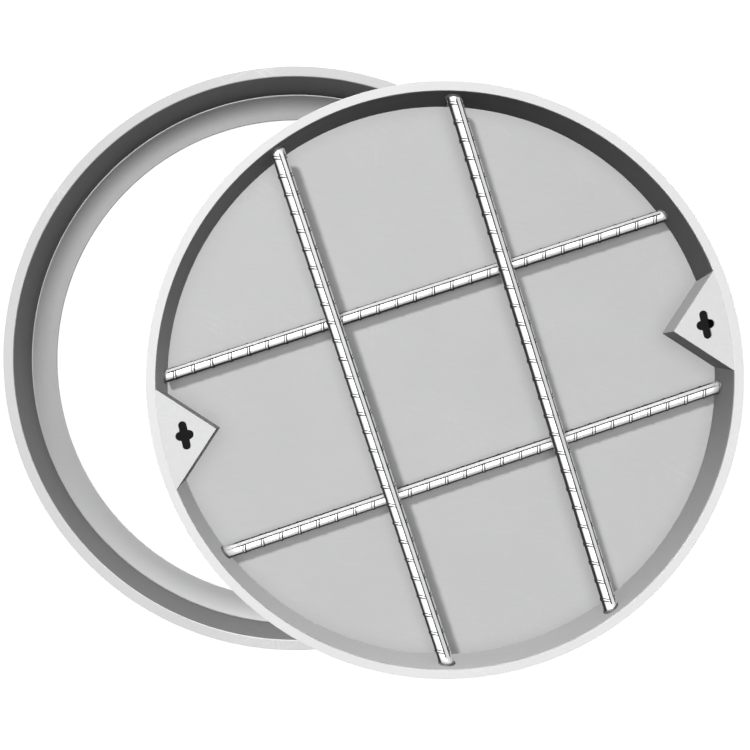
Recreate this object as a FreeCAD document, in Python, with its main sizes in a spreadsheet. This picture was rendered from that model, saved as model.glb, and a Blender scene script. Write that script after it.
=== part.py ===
# Recessed manhole cover: a dished paving tray with two lifting-key pockets, laid over its open round frame.
# Millimetres, +Z up, origin on the centre of the clear opening at the frame's base.
import FreeCAD
import Part
import Sketcher
import math
import os

os.makedirs("parts", exist_ok=True)
doc = FreeCAD.newDocument("manhole_cover")

# driving sizes
sizes = {
    "clearRadius": 300.0,        # radius of the clear opening
    "ledgeFlat": 8.0,            # level strip of the ledge beside the opening
    "ledgeRun": 22.1,            # radial width of the ledge's curved part
    "ledgeArc": 50.4,            # radius of the curved part's upper face
    "sheet": 3.0,                # plate thickness of frame and cover
    "wallAcross": 3.05,          # that thickness measured level across a sloping wall
    "frameWallRun": 9.1,         # how far the frame wall leans out
    "frameHeight": 60.0,
    "frameRimWidth": 11.8,
    "nestGap": 0.8,              # gap between the cover's wall and the frame's when seated
    "coverHeight": 50.0,
    "coverRimWidth": 10.7,
    "coverWallRun": 7.6,         # how far the cover wall leans out above the floor
    "floorThick": 4.0,
    "floorLip": 0.5,             # how far the floor reaches under the wall
    "coverOffset": 177.0,        # cover centre from frame centre, as laid down
    "restGap": 0.2,              # gap under the resting cover
    "lowerCore": 7.5,            # lower bars' radius between the ribs
    "lowerOver": 8.3,            # and over the ribs
    "upperCore": 8.7,            # upper bars' radius between the ribs
    "upperOver": 9.5,            # and over the ribs
    "barStrip": 5.2,             # width of the two lengthways ribs
    "ribWidth": 2.2,
    "ribPitch": 22.4,
    "ribShift": 1.0,             # sideways shift that makes each rib a crescent
    "barGap": 0.1,               # gap under each layer of bars
    "lowerBack": 105.6,          # bar lines from the cover's centre
    "lowerFront": 112.3,
    "upperLeft": 100.3,
    "upperRight": 109.2,
    "barWeldLeg": 1.6,
    "barWeldWidth": 7.0,
    "pocketDepth": 64.5,         # rim to pocket point
    "keyholeIn": 37.4,           # pocket point to keyhole centre
    "keyholeLong": 33.4,
    "keyholeNarrow": 9.6,
    "keyholeShort": 21.2,
    "keyholeWide": 10.6,
    "weldLeg": 3.0,
    "weldGap": 0.05,             # gap between a weld bead and its plates
    "fitGap": 0.3,               # gap round the key plates and at the pocket walls' ends
    "pocketTurn": 20.7,          # degrees: pocket line about +Z
    "barTurn": 26.7,             # degrees: lower bars about +Z
}
sheet = doc.addObject("Spreadsheet::Sheet", "Sizes")
for row, (name, size) in enumerate(sizes.items(), start=1):
    sheet.set("A%d" % row, name)
    sheet.set("B%d" % row, str(size))
    sheet.setAlias("B%d" % row, name)
doc.recompute()


def size(name):
    return float(sheet.get(name))


# a length is a sum of sheet sizes: "frameHeight -sheet 2*weldLeg 0.6"
def terms(text):
    for term in text.split():
        sign = -1.0 if term.startswith("-") else 1.0
        factor, _, name = term.lstrip("-").rpartition("*")
        factor = sign * (float(factor) if factor else 1.0)
        if name[0].isdigit():
            yield factor * float(name), None
        else:
            yield factor, name


def number(text):
    return sum(f if name is None else f * size(name) for f, name in terms(text))


def formula(text):
    return " + ".join(repr(f) if name is None else "%r * Sizes.%s" % (f, name) for f, name in terms(text))


def bind(item, prop, text):
    item.setExpression(prop, formula(text))


def newBody(label):
    body = doc.addObject("PartDesign::Body", label)
    body.Label = label
    return body


def newSketch(body, role, label):
    flat = [f for f in body.Origin.OriginFeatures if f.Role == role][0]
    sketch = body.newObject("Sketcher::SketchObject", label)
    sketch.AttachmentSupport = (flat, [""])
    sketch.MapMode = "FlatFace"
    return sketch


# holds a sketch point at a place given by two sums of sizes
def pinPoint(sketch, edge, end, across, up):
    for kind, text, axis in (("DistanceX", across, -2), ("DistanceY", up, -1)):
        if number(text) == 0:
            sketch.addConstraint(Sketcher.Constraint("PointOnObject", edge, end, axis))
        else:
            at = sketch.addConstraint(Sketcher.Constraint(kind, -1, 1, edge, end, number(text)))
            bind(sketch, "Constraints[%d]" % at, text)


def outline(sketch, corners):
    spots = [FreeCAD.Vector(number(a), number(b), 0) for a, b in corners]
    for i, spot in enumerate(spots):
        sketch.addGeometry(Part.LineSegment(spot, spots[(i + 1) % len(spots)]), False)
    for i, (across, up) in enumerate(corners):
        sketch.addConstraint(Sketcher.Constraint("Coincident", i, 2, (i + 1) % len(spots), 1))
        pinPoint(sketch, i, 1, across, up)


def spin(body, sketch):
    turned = body.newObject("PartDesign::Revolution", body.Label + "_turned")
    turned.Profile = sketch
    turned.ReferenceAxis = (sketch, ["V_Axis"])
    turned.Angle = 360
    sketch.Visibility = False
    return turned


# a ring turned from a cross-section of (radius, height) corners
def ring(label, corners):
    body = newBody(label)
    sketch = newSketch(body, "XZ_Plane", label + "_section")
    outline(sketch, corners)
    spin(body, sketch)
    return body


def seatOnCover(item, turn=None):
    bind(item, "Placement.Base.x", "coverOffset")
    bind(item, "Placement.Base.z", "frameHeight restGap")
    if turn:
        angle, extra = turn
        item.Placement = FreeCAD.Placement(item.Placement.Base, FreeCAD.Rotation(FreeCAD.Vector(0, 0, 1), 1))
        bind(item, "Placement.Rotation.Angle", angle + " " + extra)
    return item


lowerTilt, upperTilt = -42, 24    # degrees the lengthways ribs lean from straight up
lowerLean, upperLean = 22, -32    # degrees the crescent ribs lean from square
skews = {"lower_bar_back": "-0.1", "lower_bar_front": "0.6", "upper_bar_left": "0.3", "upper_bar_right": "-0.9"}

# sums used in several pieces
crease = "clearRadius ledgeFlat ledgeRun"
frameWallTop = crease + " frameWallRun"
coverInner = frameWallTop + " -nestGap -wallAcross"
coverFoot = coverInner + " -coverWallRun"
underRim = "coverHeight -sheet"
creaseDrop = size("ledgeArc") - math.sqrt(size("ledgeArc") ** 2 - size("ledgeRun") ** 2)
creaseHeight = "sheet %.4f" % creaseDrop


def frameRim():
    return ring("frame_rim", [
        (frameWallTop, "frameHeight -sheet"), (frameWallTop + " frameRimWidth", "frameHeight -sheet"),
        (frameWallTop + " frameRimWidth", "frameHeight"), (frameWallTop, "frameHeight")])


def frameWall():
    return ring("frame_wall", [
        (crease, creaseHeight), (crease + " wallAcross", creaseHeight),
        (frameWallTop + " wallAcross", "frameHeight -sheet"), (frameWallTop, "frameHeight -sheet")])


# dished ledge: a level strip at the opening that curves up to the wall
def frameLedge():
    body = newBody("frame_ledge")
    sketch = newSketch(body, "XZ_Plane", "frame_ledge_section")
    centre = ("clearRadius ledgeFlat", "sheet ledgeArc")
    cx, cz = number(centre[0]), number(centre[1])
    lean = math.asin(size("ledgeRun") / size("ledgeArc"))
    inner, thick = size("clearRadius"), size("sheet")
    upper, lower = size("ledgeArc"), size("ledgeArc") + thick

    def onArc(radius, angle):
        return FreeCAD.Vector(cx + radius * math.sin(angle), cz - radius * math.cos(angle), 0)

    for radius in (upper, lower):
        arc = Part.ArcOfCircle(Part.Circle(FreeCAD.Vector(cx, cz, 0), FreeCAD.Vector(0, 0, 1), radius),
                               -math.pi / 2, -math.pi / 2 + lean)
        sketch.addGeometry(arc, False)
    sketch.addGeometry(Part.LineSegment(onArc(upper, lean), onArc(lower, lean)), False)
    strip = [FreeCAD.Vector(cx, thick, 0), FreeCAD.Vector(inner, thick, 0),
             FreeCAD.Vector(inner, 0, 0), FreeCAD.Vector(cx, 0, 0)]
    for start, end in zip(strip, strip[1:]):
        sketch.addGeometry(Part.LineSegment(start, end), False)
    for pair in ((0, 2, 2, 1), (1, 2, 2, 2), (0, 1, 3, 1), (3, 2, 4, 1), (4, 2, 5, 1), (5, 2, 1, 1), (0, 3, 1, 3)):
        sketch.addConstraint(Sketcher.Constraint("Coincident", *pair))
    pinPoint(sketch, 0, 3, *centre)
    pinPoint(sketch, 3, 1, "clearRadius ledgeFlat", "sheet")
    pinPoint(sketch, 4, 1, "clearRadius", "sheet")
    pinPoint(sketch, 4, 2, "clearRadius", "0")
    pinPoint(sketch, 5, 2, "clearRadius ledgeFlat", "0")
    at = sketch.addConstraint(Sketcher.Constraint("DistanceX", -1, 1, 2, 1, number(crease)))
    bind(sketch, "Constraints[%d]" % at, crease)
    sketch.addConstraint(Sketcher.Constraint("PointOnObject", 0, 3, 2))
    spin(body, sketch)
    return body


# weld bead under the rim, outside the wall
def frameRimWeld():
    top = "frameHeight -sheet -weldGap"
    side = frameWallTop + " wallAcross"
    return ring("frame_rim_weld", [
        (side + " weldGap", top), (side + " weldLeg", top), (side + " -0.19*weldLeg weldGap", top + " -weldLeg")])


# weld bead outside the corner of wall and ledge
def frameLedgeWeld():
    top = creaseHeight + " -weldGap"
    return ring("frame_ledge_weld", [
        (crease + " 4*weldGap", top), (crease + " wallAcross -weldGap", top),
        (crease + " 1.6", top + " -2.45")])


def coverRim():
    return ring("cover_rim", [
        (coverInner, underRim), (coverInner + " coverRimWidth", underRim),
        (coverInner + " coverRimWidth", "coverHeight"), (coverInner, "coverHeight")])


def coverWall():
    return ring("cover_wall", [
        (coverFoot, "floorThick"), (coverFoot + " wallAcross", "floorThick"),
        (coverInner + " wallAcross", underRim), (coverInner, underRim)])


def coverFloor():
    return ring("cover_floor", [
        ("0", "0"), (coverFoot + " floorLip", "0"), (coverFoot + " floorLip", "floorThick"), ("0", "floorThick")])


def coverFloorWeld():
    edge = coverFoot + " floorLip weldGap"
    top = "floorThick -weldGap"
    return ring("cover_floor_weld", [
        (edge, top), (coverFoot + " wallAcross -weldGap", top), (edge, top + " -weldLeg")])


# the space inside the tray, a hair clear of floor and wall, used to trim what stands in it
def cavity(label, gap):
    cone = doc.addObject("Part::Cone", label)
    bind(cone, "Radius1", coverFoot + " -" + gap)
    bind(cone, "Radius2", coverInner + " -" + gap)
    bind(cone, "Height", underRim + " -floorThick -2*weldGap")
    bind(cone, "Placement.Base.z", "floorThick weldGap")
    cone.Label = label
    return cone


def common(label, base, tool):
    cut = doc.addObject("Part::Common", label)
    cut.Base = base
    cut.Tool = tool
    cut.Label = label
    return cut


# half the free length of a bar line at a given distance from the centre, at floor level
def halfChord(offset, over):
    reach = number(coverFoot)
    return math.sqrt(reach ** 2 - (size(offset) + size(over)) ** 2)


# height of a layer's bar axis above the cover's base
def layerHeight(upper):
    return "floorThick barGap lowerOver" + (" lowerOver barGap upperOver" if upper else "")


# deformed bar along +X, centred: core, crescent ribs on both sides and two lengthways ribs
def ribbedBar(label, offset, layer, lean):
    body = newBody(label)
    over = layer + "Over"
    half = halfChord(offset, over)
    plain = size("barWeldWidth") + 5.0
    pitch = size("ribPitch")
    count = int((2 * half - 2 * plain) / pitch) + 1
    first = -(count - 1) * pitch / 2

    core = body.newObject("PartDesign::AdditiveCylinder", label + "_core")
    bind(core, "Radius", layer + "Core")
    bind(core, "Height", "2*" + coverInner.replace(" ", " 2*").replace("2*-", "-2*"))
    core.Placement = FreeCAD.Placement(FreeCAD.Vector(-number(coverInner), 0, 0),
                                       FreeCAD.Rotation(FreeCAD.Vector(0, 1, 0), 90))
    doc.recompute()
    strip = body.newObject("PartDesign::AdditiveBox", label + "_strip")
    strip.Length = (count - 1) * pitch + 0.5 * pitch
    bind(strip, "Width", "barStrip")
    bind(strip, "Height", "2*" + over + " -0.9")
    strip.Placement = FreeCAD.Placement(
        FreeCAD.Vector(-strip.Length.Value / 2, -size("barStrip") / 2, -size(over) + 0.45), FreeCAD.Rotation())
    doc.recompute()
    ribs = []
    for side in (1, -1):
        rib = body.newObject("PartDesign::AdditiveCylinder", label + ("_near" if side > 0 else "_far"))
        bind(rib, "Radius", over + " -ribShift")
        bind(rib, "Height", "ribWidth")
        leaned = FreeCAD.Rotation(FreeCAD.Vector(0, 0, 1), lean * side)
        turn = leaned.multiply(FreeCAD.Rotation(FreeCAD.Vector(0, 1, 0), 90))
        back = turn.multVec(FreeCAD.Vector(0, 0, -size("ribWidth") / 2))
        rib.Placement = FreeCAD.Placement(FreeCAD.Vector(first, side * size("ribShift"), 0) + back, turn)
        ribs.append(rib)
        doc.recompute()
    pattern = body.newObject("PartDesign::LinearPattern", label + "_ribs")
    pattern.Originals = ribs
    along = [f for f in body.Origin.OriginFeatures if f.Role == "X_Axis"][0]
    pattern.Direction = (along, [""])
    pattern.Mode = "Extent"
    pattern.Length = (count - 1) * pitch
    pattern.Occurrences = count
    body.Tip = pattern
    doc.recompute()
    return body


# a bar laid in the tray and trimmed to the wall; the upper layer runs across the lower one
def layBar(label, offset, side, upper, trim):
    bar = ribbedBar(label + "_whole", offset, "upper" if upper else "lower", upperLean if upper else lowerLean)
    spinUp = FreeCAD.Rotation(FreeCAD.Vector(1, 0, 0), upperTilt if upper else lowerTilt)
    turn = FreeCAD.Rotation(FreeCAD.Vector(0, 0, 1), 90 if upper else 0).multiply(spinUp)
    bar.Placement = FreeCAD.Placement(FreeCAD.Vector(), turn)
    bind(bar, "Placement.Base.x" if upper else "Placement.Base.y", ("-" if side < 0 else "") + offset)
    bind(bar, "Placement.Base.z", layerHeight(upper))
    return seatOnCover(common(label, bar, trim), ("barTurn", skews[label]))


def rod(label, radius):
    cylinder = doc.addObject("Part::Cylinder", label)
    bind(cylinder, "Radius", radius)
    bind(cylinder, "Height", "5*barWeldWidth")
    return cylinder


# weld collars where the bars of one layer meet the wall
def barWelds(label, lines, upper, trim):
    collars = []
    height = number(layerHeight(upper))
    layer = "upper" if upper else "lower"
    for bar, offset, side in lines:
        half = math.sqrt((number(coverFoot)) ** 2 - size(offset) ** 2)
        for end in (1, -1):
            sleeve = doc.addObject("Part::Cut", "%s_%s_%s" % (label, offset, "far" if end > 0 else "near"))
            sleeve.Base = rod(sleeve.Name + "_outer", layer + "Core barWeldLeg")
            sleeve.Tool = rod(sleeve.Name + "_bar", layer + "Core weldGap")
            along = FreeCAD.Vector(end * (half - size("barWeldWidth")), side * size(offset), height)
            turn = FreeCAD.Rotation(FreeCAD.Vector(0, 1, 0), 90 * end)
            if upper:
                quarter = FreeCAD.Rotation(FreeCAD.Vector(0, 0, 1), 90)
                along = FreeCAD.Vector(side * size(offset), end * (half - size("barWeldWidth")), height)
                turn = quarter.multiply(turn)
            skew = FreeCAD.Rotation(FreeCAD.Vector(0, 0, 1), float(skews[bar]))
            sleeve.Placement = FreeCAD.Placement(skew.multVec(along), skew.multiply(turn))
            collars.append(sleeve)
    group = doc.addObject("Part::Compound", label + "_sleeves")
    group.Links = collars
    return seatOnCover(common(label, group, trim), ("barTurn", "0"))


# rounded slot centred on a point of the sketch, its length across or along
def slot(sketch, centre, length, width, upright):
    long, wide = number(length), number(width)
    cx = number(centre)
    reach = (long - wide) / 2
    spots = [FreeCAD.Vector(cx + (0 if upright else s * reach), s * reach if upright else 0, 0) for s in (1, -1)]
    base = math.pi / 2 if upright else 0
    for i, spot in enumerate(spots):
        start = base - math.pi / 2 + i * math.pi
        arc = Part.ArcOfCircle(Part.Circle(spot, FreeCAD.Vector(0, 0, 1), wide / 2), start, start + math.pi)
        sketch.addGeometry(arc, False)
    ends = [(sketch.getPoint(0, 2), sketch.getPoint(1, 1)), (sketch.getPoint(1, 2), sketch.getPoint(0, 1))]
    for start, end in ends:
        sketch.addGeometry(Part.LineSegment(start, end), False)
    for one, two in (((0, 2), (2, 1)), ((2, 2), (1, 1)), ((1, 2), (3, 1)), ((3, 2), (0, 1))):
        sketch.addConstraint(Sketcher.Constraint("Tangent", one[0], one[1], two[0], two[1]))
    half = " ".join("0.5*" + t if not t.startswith("-") else "-0.5*" + t[1:] for t in (length + " -" + width).split())
    if upright:
        pinPoint(sketch, 0, 3, centre, half)
        pinPoint(sketch, 1, 3, centre, " ".join("-" + t if not t.startswith("-") else t[1:] for t in half.split()))
    else:
        pinPoint(sketch, 0, 3, centre + " " + half, "0")
        flipped = " ".join("-" + t if not t.startswith("-") else t[1:] for t in half.split())
        pinPoint(sketch, 1, 3, centre + " " + flipped, "0")
    at = sketch.addConstraint(Sketcher.Constraint("Radius", 0, wide / 2))
    bind(sketch, "Constraints[%d]" % at, "0.5*" + width)


# triangular plate with its right-angled point towards the centre, its back edge following the rim
def keyPlate(label, half):
    body = newBody(label)
    point = coverInner + " -pocketDepth"
    sketch = newSketch(body, "XY_Plane", label + "_outline")
    px = number(point)
    radius = number(coverInner) - size("fitGap")
    side = (-px + math.sqrt(2 * radius ** 2 - px ** 2)) / 2
    tip = FreeCAD.Vector(px, 0, 0)
    upper = FreeCAD.Vector(px + side, side, 0)
    lower = FreeCAD.Vector(px + side, -side, 0)
    bend = math.atan2(side, px + side)
    sketch.addGeometry(Part.LineSegment(tip, lower), False)
    sketch.addGeometry(Part.ArcOfCircle(Part.Circle(FreeCAD.Vector(), FreeCAD.Vector(0, 0, 1), radius),
                                        -bend, bend), False)
    sketch.addGeometry(Part.LineSegment(upper, tip), False)
    for pair in ((0, 2, 1, 1), (1, 2, 2, 1), (2, 2, 0, 1), (1, 3, -1, 1)):
        sketch.addConstraint(Sketcher.Constraint("Coincident", *pair))
    pinPoint(sketch, 0, 1, point, "0")
    at = sketch.addConstraint(Sketcher.Constraint("Radius", 1, radius))
    bind(sketch, "Constraints[%d]" % at, coverInner + " -fitGap")
    sketch.addConstraint(Sketcher.Constraint("Equal", 0, 2))
    sketch.addConstraint(Sketcher.Constraint("Perpendicular", 0, 2))
    plate = body.newObject("PartDesign::Pad", label + "_plate")
    plate.Profile = sketch
    bind(plate, "Length", "sheet")
    doc.recompute()
    centre = point + " keyholeIn"
    for name, length, width, upright in (("long", "keyholeLong", "keyholeNarrow", True),
                                         ("short", "keyholeShort", "keyholeWide", False)):
        hole = newSketch(body, "XY_Plane", label + "_" + name)
        slot(hole, centre, length, width, upright)
        doc.recompute()
        cut = body.newObject("PartDesign::Pocket", label + "_" + name + "_cut")
        cut.Profile = hole
        cut.Type = "ThroughAll"
        cut.Midplane = True
        body.Tip = cut
        doc.recompute()
    seatOnCover(body, ("pocketTurn", half))
    bind(body, "Placement.Base.z", "frameHeight restGap " + underRim)
    return body


# upright wall under one slanting edge of a key plate, trimmed to the cover's wall
def pocketWall(label, half, side, trim):
    slab = doc.addObject("Part::Box", label + "_slab")
    bind(slab, "Width", "sheet")
    bind(slab, "Height", underRim + " -floorThick -weldGap -weldGap")
    reach = 1.6 * size("pocketDepth")
    slab.Length = reach
    lean = math.radians(45 * side)
    tip = number(coverInner + " -pocketDepth")
    t = size("sheet")
    along = FreeCAD.Vector(math.cos(lean), math.sin(lean), 0)
    if side > 0:
        base = FreeCAD.Vector(tip, 0, 0) + FreeCAD.Vector(math.sin(lean), -math.cos(lean), 0) * t
    else:
        base = FreeCAD.Vector(tip, 0, 0) + along * (t + size("weldGap"))
    base.z = number("floorThick weldGap")
    slab.Placement = FreeCAD.Placement(base, FreeCAD.Rotation(FreeCAD.Vector(0, 0, 1), 45 * side))
    return seatOnCover(common(label, slab, trim), ("pocketTurn", half))


# fillet beads along the feet of both pocket walls, inside the pocket
def pocketWelds(label, half, trim):
    beads = []
    tip = number(coverInner + " -pocketDepth")
    for side in (1, -1):
        body = newBody("%s_%s" % (label, "left" if side > 0 else "right"))
        sketch = newSketch(body, "YZ_Plane", body.Label + "_section")
        turn = "-" if side > 0 else ""
        outline(sketch, [(turn + "weldGap", "weldGap"), (turn + "weldLeg", "weldGap"), (turn + "weldGap", "weldLeg")])
        bead = body.newObject("PartDesign::Pad", body.Label + "_bead")
        bead.Profile = sketch
        bead.Length = 1.6 * size("pocketDepth")
        doc.recompute()
        if body.Shape.BoundBox.XMin < -1:
            bead.Reversed = True
        lean = math.radians(45 * side)
        inward = FreeCAD.Vector(math.sin(lean) * side, -math.cos(lean) * side, 0) * size("sheet")
        along = FreeCAD.Vector(math.cos(lean), math.sin(lean), 0) * (size("sheet") + 2 * size("weldLeg"))
        base = FreeCAD.Vector(tip, 0, number("floorThick weldGap")) + inward + along
        body.Placement = FreeCAD.Placement(base, FreeCAD.Rotation(FreeCAD.Vector(0, 0, 1), 45 * side))
        beads.append(body)
    group = doc.addObject("Part::Compound", label + "_beads")
    group.Links = beads
    return seatOnCover(common(label, group, trim), ("pocketTurn", half))


nodes = [frameRim(), frameWall(), frameLedge(), frameRimWeld(), frameLedgeWeld()]
for piece in (coverRim(), coverWall(), coverFloor(), coverFloorWeld()):
    nodes.append(seatOnCover(piece))
barTrim = cavity("bar_trim", "fitGap")
wallTrim = cavity("pocket_trim", "fitGap")
lowerLines = [("lower_bar_back", "lowerBack", 1), ("lower_bar_front", "lowerFront", -1)]
upperLines = [("upper_bar_left", "upperLeft", -1), ("upper_bar_right", "upperRight", 1)]
for lines, upper in ((lowerLines, False), (upperLines, True)):
    for name, offset, side in lines:
        nodes.append(layBar(name, offset, side, upper, barTrim))
nodes.append(barWelds("lower_bar_welds", lowerLines, False, barTrim))
nodes.append(barWelds("upper_bar_welds", upperLines, True, barTrim))
for name, half in (("right", "0"), ("left", "180")):
    nodes.append(keyPlate(name + "_key_plate", half))
    nodes.append(pocketWall(name + "_pocket_wall_a", half, 1, wallTrim))
    nodes.append(pocketWall(name + "_pocket_wall_b", half, -1, wallTrim))
    nodes.append(pocketWelds(name + "_pocket_welds", half, wallTrim))
doc.recompute()

for item in doc.Objects:
    bad = [s for s in item.State if s in ("Invalid", "Error")]
    if bad:
        raise RuntimeError("%s is %s" % (item.Label, bad))
for node in nodes:
    shape = node.Shape
    if shape.isNull() or not shape.isValid() or not shape.Solids:
        raise RuntimeError("%s has no valid solid" % node.Label)
    shape.exportStep("parts/%s.step" % node.Label)
    box = shape.BoundBox
    print("%-22s solids %d volume %.0f  x %.1f %.1f  y %.1f %.1f  z %.2f %.2f" % (
        node.Label, len(shape.Solids), shape.Volume, box.XMin, box.XMax, box.YMin, box.YMax, box.ZMin, box.ZMax))
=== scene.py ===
import math

import bmesh
import bpy
from mathutils import Matrix, Vector, noise


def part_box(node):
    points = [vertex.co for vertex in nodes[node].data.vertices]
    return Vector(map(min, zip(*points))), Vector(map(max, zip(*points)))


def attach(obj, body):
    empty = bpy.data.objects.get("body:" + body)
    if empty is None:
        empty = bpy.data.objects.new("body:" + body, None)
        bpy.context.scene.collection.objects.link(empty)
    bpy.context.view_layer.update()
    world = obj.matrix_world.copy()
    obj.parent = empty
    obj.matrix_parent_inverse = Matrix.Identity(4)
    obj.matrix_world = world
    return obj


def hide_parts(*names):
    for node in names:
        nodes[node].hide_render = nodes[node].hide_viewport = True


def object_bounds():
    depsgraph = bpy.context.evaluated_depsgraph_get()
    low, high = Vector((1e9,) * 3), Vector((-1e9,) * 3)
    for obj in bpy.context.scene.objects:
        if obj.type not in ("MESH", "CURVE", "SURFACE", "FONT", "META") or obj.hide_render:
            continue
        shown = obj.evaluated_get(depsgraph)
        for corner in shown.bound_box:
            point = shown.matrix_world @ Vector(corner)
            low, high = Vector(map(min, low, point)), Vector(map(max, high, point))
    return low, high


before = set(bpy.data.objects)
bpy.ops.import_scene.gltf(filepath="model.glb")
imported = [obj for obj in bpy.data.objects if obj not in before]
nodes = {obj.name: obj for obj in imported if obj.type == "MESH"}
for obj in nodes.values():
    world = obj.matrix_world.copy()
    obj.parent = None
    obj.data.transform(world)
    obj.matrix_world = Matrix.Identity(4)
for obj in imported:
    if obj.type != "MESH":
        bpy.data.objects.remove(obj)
cadLow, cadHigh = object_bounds()
mm = 0.001
print("frame loaded:", len(nodes), "nodes")


# lowest and highest ring of a turned part: (height, inner radius, outer radius), about a centre
def ringEnds(nodeName, centre):
    points = [v.co - centre for v in nodes[nodeName].data.vertices]
    low, high = min(p.z for p in points), max(p.z for p in points)
    ends = []
    for level in (low, high):
        radii = [math.hypot(p.x, p.y) for p in points if abs(p.z - level) < 0.02 * mm]
        ends.append((level, min(radii), max(radii)))
    return ends


# the cover's own axis and base, and the frame's
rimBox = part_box("cover_rim")
coverCentre = (rimBox[0] + rimBox[1]) / 2
coverCentre.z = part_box("cover_floor")[0].z
frameCentre = Vector((0, 0, 0))
wallEnds = ringEnds("cover_wall", coverCentre)
pocketTurn = math.radians(20.7)
barTurn = math.radians(26.7)


def makeMesh(name, points, faces, edgeMask=None, paintedShadeMask=None):
    mesh = bpy.data.meshes.new(name)
    mesh.from_pydata(points, [], faces)
    mesh.validate()
    mesh.update()
    for label, mask in (("edge", edgeMask), ("paintedShade", paintedShadeMask)):
        if mask:
            mesh.attributes.new(label, "FLOAT", "POINT").data.foreach_set("value", mask)
    for polygon in mesh.polygons:
        polygon.use_smooth = True
    return mesh


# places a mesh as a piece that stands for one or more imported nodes
def addPiece(name, mesh, body, material, stands, place=None, softEdge=0.0):
    piece = bpy.data.objects.new(name, mesh)
    bpy.context.scene.collection.objects.link(piece)
    if place is not None:
        piece.matrix_world = place
    mesh.materials.append(material)
    if softEdge:
        bevel = piece.modifiers.new("softEdge", "BEVEL")
        bevel.width = softEdge
        bevel.segments = 3
        bevel.limit_method = "ANGLE"
        bevel.angle_limit = math.radians(35)
        bevel.harden_normals = True
    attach(piece, body)
    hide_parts(*stands)
    return piece


# turns sharp section corners into small arcs, each with a close support point on both sides
def roundSection(corners, steps=3):
    section = []
    for i, (radius, height, round_) in enumerate(corners):
        here = Vector((radius, height))
        back = (Vector(corners[i - 1][:2]) - here).normalized()
        ahead = (Vector(corners[(i + 1) % len(corners)][:2]) - here).normalized()
        if round_ <= 0:
            section.append((here.x, here.y, 0.0))
            continue
        start, end = here + back * round_, here + ahead * round_
        before, after = start + back * round_ * 0.4, end + ahead * round_ * 0.4
        section.append((before.x, before.y, 0.0))
        for k in range(steps + 1):
            f = k / steps
            spot = start * (1 - f) ** 2 + here * 2 * f * (1 - f) + end * f ** 2
            section.append((spot.x, spot.y, 1.0))
        section.append((after.x, after.y, 0.0))
    return section


# turns a closed section of (radius, height, edge) into a ring about Z
def lathe(name, section, segments, closed=True):
    points, faces, mask = [], [], []
    count = len(section)
    for j in range(segments):
        angle = 2 * math.pi * j / segments
        for radius, height, edge in section:
            points.append((radius * math.cos(angle), radius * math.sin(angle), height))
            mask.append(edge)
    last = count if closed else count - 1
    for j in range(segments):
        k = (j + 1) % segments
        for i in range(last):
            n = (i + 1) % count
            faces.append((j * count + i, k * count + i, k * count + n, j * count + n))
    if not closed:
        faces.append([j * count for j in reversed(range(segments))])
        faces.append([j * count + count - 1 for j in range(segments)])
    return makeMesh(name, points, faces, mask)


# ---- shader parts used by several finishes

def newGroup(name, inputs, outputs):
    group = bpy.data.node_groups.new(name, "ShaderNodeTree")
    for label, kind, value in inputs:
        socket = group.interface.new_socket(label, in_out="INPUT", socket_type=kind)
        if value is not None:
            socket.default_value = value
    for label, kind in outputs:
        group.interface.new_socket(label, in_out="OUTPUT", socket_type=kind)
    return group, group.nodes.new("NodeGroupInput"), group.nodes.new("NodeGroupOutput")


def addNode(tree, kind, settings=None, links=None):
    node = tree.nodes.new(kind)
    for key, value in (settings or {}).items():
        if key in node.inputs.keys():
            node.inputs[key].default_value = value
        else:
            setattr(node, key, value)
    for key, source in (links or {}).items():
        tree.links.new(source, node.inputs[key])
    return node


def mathNode(tree, operation, a, b=None, clamp=False):
    node = tree.nodes.new("ShaderNodeMath")
    node.operation = operation
    node.use_clamp = clamp
    for i, value in enumerate((a, b)):
        if value is None:
            continue
        if isinstance(value, (int, float)):
            node.inputs[i].default_value = value
        else:
            tree.links.new(value, node.inputs[i])
    return node.outputs[0]


def buildRollGrain():
    group, start, end = newGroup(
        "rollGrain",
        [("Vector", "NodeSocketVector", None), ("Stretch", "NodeSocketVector", (1.0, 1.0, 1.0)),
         ("Scale", "NodeSocketFloat", 900.0), ("Depth", "NodeSocketFloat", 1.0)],
        [("Streak", "NodeSocketFloat"), ("Height", "NodeSocketFloat")])
    stretched = addNode(group, "ShaderNodeVectorMath", {"operation": "MULTIPLY"})
    group.links.new(start.outputs["Vector"], stretched.inputs[0])
    group.links.new(start.outputs["Stretch"], stretched.inputs[1])
    coarse = addNode(group, "ShaderNodeTexNoise", {"Detail": 3.0, "Roughness": 0.65},
                     {"Vector": stretched.outputs[0], "Scale": start.outputs["Scale"]})
    finer = mathNode(group, "MULTIPLY", start.outputs["Scale"], 3.1)
    fine = addNode(group, "ShaderNodeTexNoise", {"Detail": 2.0, "Roughness": 0.5},
                   {"Vector": stretched.outputs[0], "Scale": finer})
    both = mathNode(group, "ADD", mathNode(group, "MULTIPLY", coarse.outputs["Fac"], 0.65),
                    mathNode(group, "MULTIPLY", fine.outputs["Fac"], 0.35))
    streak = addNode(group, "ShaderNodeMapRange",
                     {"From Min": 0.32, "From Max": 0.68, "To Min": 0.0, "To Max": 1.0}, {"Value": both})
    group.links.new(streak.outputs[0], end.inputs["Streak"])
    group.links.new(mathNode(group, "MULTIPLY", streak.outputs[0], start.outputs["Depth"]), end.inputs["Height"])
    return group


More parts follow.
